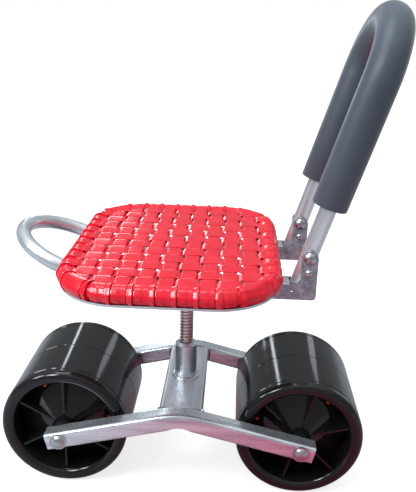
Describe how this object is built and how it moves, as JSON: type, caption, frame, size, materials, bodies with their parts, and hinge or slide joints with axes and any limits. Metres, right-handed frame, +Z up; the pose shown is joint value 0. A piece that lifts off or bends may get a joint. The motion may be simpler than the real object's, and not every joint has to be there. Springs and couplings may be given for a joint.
{
  "type": "rolling garden seat",
  "caption": "Low rolling garden seat: woven strap seat with a folding padded back and a front handle, turning on a lift screw over a bent-tube base with wide rollers.",
  "frame": {"origin": "on the floor, midway between the foremost and rearmost points and midway across", "axes": "+X from the front handle to the backrest, +Y across to the side away from the axle bolt heads, +Z up"},
  "size_m": [0.529, 0.366, 0.6757],
  "materials": {
    "galvanised_steel": "satin galvanised",
    "zinc_fasteners": "zinc plated",
    "roller_plastic": "gloss moulded",
    "nylon": "matt",
    "red_strap": "gloss strap",
    "grip_foam": "satin foam skin"
  },
  "bodies": {
    "undercarriage": {"near_arm": "galvanised_steel", "far_arm": "galvanised_steel", "cross_tube": "galvanised_steel", "screw_socket": "galvanised_steel", "frame_welds": "galvanised_steel", "axle_bolts": "zinc_fasteners", "axle_washers": "zinc_fasteners", "axle_nuts": "zinc_fasteners", "thrust_washers": "nylon"},
    "front_roller": {"front_roller_near_shell": "roller_plastic", "front_roller_far_shell": "roller_plastic", "front_roller_bushes": "nylon", "front_roller_tie_bolts": "zinc_fasteners", "front_roller_tie_nuts": "zinc_fasteners"},
    "rear_roller": {"rear_roller_near_shell": "roller_plastic", "rear_roller_far_shell": "roller_plastic", "rear_roller_bushes": "nylon", "rear_roller_tie_bolts": "zinc_fasteners", "rear_roller_tie_nuts": "zinc_fasteners"},
    "lift_stop": {"stop_washer": "zinc_fasteners"},
    "seat": {"lift_screw": "zinc_fasteners", "stop_bolt": "zinc_fasteners", "screw_flange": "galvanised_steel", "near_rail": "galvanised_steel", "far_rail": "galvanised_steel", "base_hoop": "galvanised_steel", "seat_ring": "galvanised_steel", "edge_wrap": "red_strap", "front_to_back_straps": "red_strap", "side_to_side_straps": "red_strap", "front_handle": "galvanised_steel", "near_bracket_plates": "galvanised_steel", "far_bracket_plates": "galvanised_steel", "pivot_bolts": "zinc_fasteners", "pivot_nuts": "zinc_fasteners", "pivot_pads": "nylon", "pad_rivets": "zinc_fasteners"},
    "backrest": {"backrest_tube": "galvanised_steel", "foam_grip": "grip_foam"}
  },
  "joints": [
    {"name": "front_roller_spin", "type": "hinge", "parent": "undercarriage", "child": "front_roller", "pos_m": [-0.1745, 0, 0.09], "axis": [0, 1, 0], "continuous": true},
    {"name": "rear_roller_spin", "type": "hinge", "parent": "undercarriage", "child": "rear_roller", "pos_m": [0.1605, 0, 0.09], "axis": [0, 1, 0], "continuous": true},
    {"name": "seat_lift", "type": "slide", "parent": "undercarriage", "child": "lift_stop", "axis": [0, 0, 1], "range_m": [-0.07, 0.021]},
    {"name": "seat_turn", "type": "hinge", "parent": "lift_stop", "child": "seat", "pos_m": [-0.007, 0, 0.19607], "axis": [0, 0, 1], "range_deg": [-5004, 1485]},
    {"name": "backrest_fold", "type": "hinge", "parent": "seat", "child": "backrest", "pos_m": [0.1545, 0, 0.36457], "axis": [0, -1, 0], "range_deg": [0, 95]}
  ],
  "couplings": [
    {"joint": "seat_lift", "follows": "seat_turn", "m_per_rad": 0.00079577}
  ]
}
